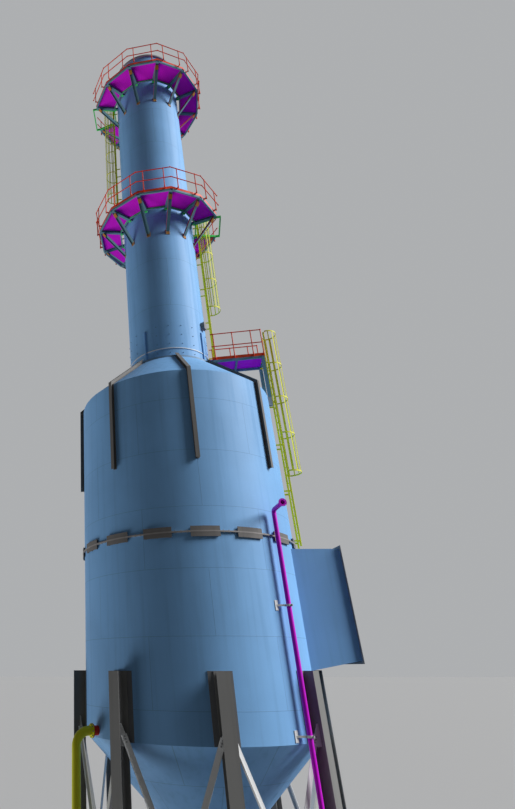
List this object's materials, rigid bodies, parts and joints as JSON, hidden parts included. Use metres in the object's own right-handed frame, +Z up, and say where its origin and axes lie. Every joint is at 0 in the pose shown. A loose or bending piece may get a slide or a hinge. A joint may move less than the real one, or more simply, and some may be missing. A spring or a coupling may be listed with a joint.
{
  "type": "wet scrubber tower with central stack",
  "caption": "Wet scrubber: a round vessel with hopper and conical roof on columns, with a tall stack, round walkways, caged ladders, an inlet duct and pipes.",
  "frame": {"origin": "on the vessel's axis at ground level, in the plane of the base plates' undersides", "axes": "+Z up along the vessel's axis; +X along the gas inlet duct, away from the vessel; +Y completes a right-handed frame"},
  "size_m": [8.661, 8.19, 37.835],
  "materials": {
    "vessel_blue": "satin",
    "steel_grey": "matt",
    "brace_white": "satin",
    "beam_teal": "satin",
    "grating_magenta": "satin",
    "rail_red": "satin",
    "ladder_yellow": "satin",
    "hatch_green": "satin",
    "pipe_magenta": "gloss",
    "pipe_yellow": "gloss",
    "nozzle_red": "gloss"
  },
  "bodies": {
    "root": {"base_plates": "steel_grey", "brace_plates": "brace_white", "braces_inner": "brace_white", "braces_outer": "brace_white", "girth_clamps": "steel_grey", "girth_flange_lower": "steel_grey", "girth_flange_upper": "steel_grey", "hopper_cone": "vessel_blue", "hopper_outlet": "steel_grey", "inlet_duct": "vessel_blue", "inlet_duct_flange": "steel_grey", "leg_pads": "steel_grey", "legs": "steel_grey", "lower_stack_ladder": "ladder_yellow", "lower_stack_ladder_cage": "ladder_yellow", "mid_walkway_brackets": "beam_teal", "mid_walkway_edge_beams": "beam_teal", "mid_walkway_grating": "grating_magenta", "mid_walkway_handrail": "rail_red", "mid_walkway_hatch_frame": "hatch_green", "overflow_nozzle": "nozzle_red", "overflow_pipe": "pipe_yellow", "riser_clamps": "brace_white", "riser_pipe": "pipe_magenta", "roof_cone": "vessel_blue", "roof_ribs": "steel_grey", "roof_walkway_frame": "beam_teal", "roof_walkway_grating": "grating_magenta", "roof_walkway_handrail": "rail_red", "roof_walkway_seats": "steel_grey", "shell_ladder": "ladder_yellow", "shell_ladder_cage": "ladder_yellow", "shell_lower_course": "vessel_blue", "shell_upper_course": "vessel_blue", "stack_base_ring": "steel_grey", "stack_foot_band": "brace_white", "stack_foot_bars": "vessel_blue", "stack_lower": "vessel_blue", "stack_top_ring": "steel_grey", "stack_upper": "vessel_blue", "top_walkway_brackets": "beam_teal", "top_walkway_edge_beams": "beam_teal", "top_walkway_grating": "grating_magenta", "top_walkway_handrail": "rail_red", "top_walkway_hatch_frame": "hatch_green", "upper_stack_ladder": "ladder_yellow", "upper_stack_ladder_cage": "ladder_yellow"}
  },
  "joints": []
}
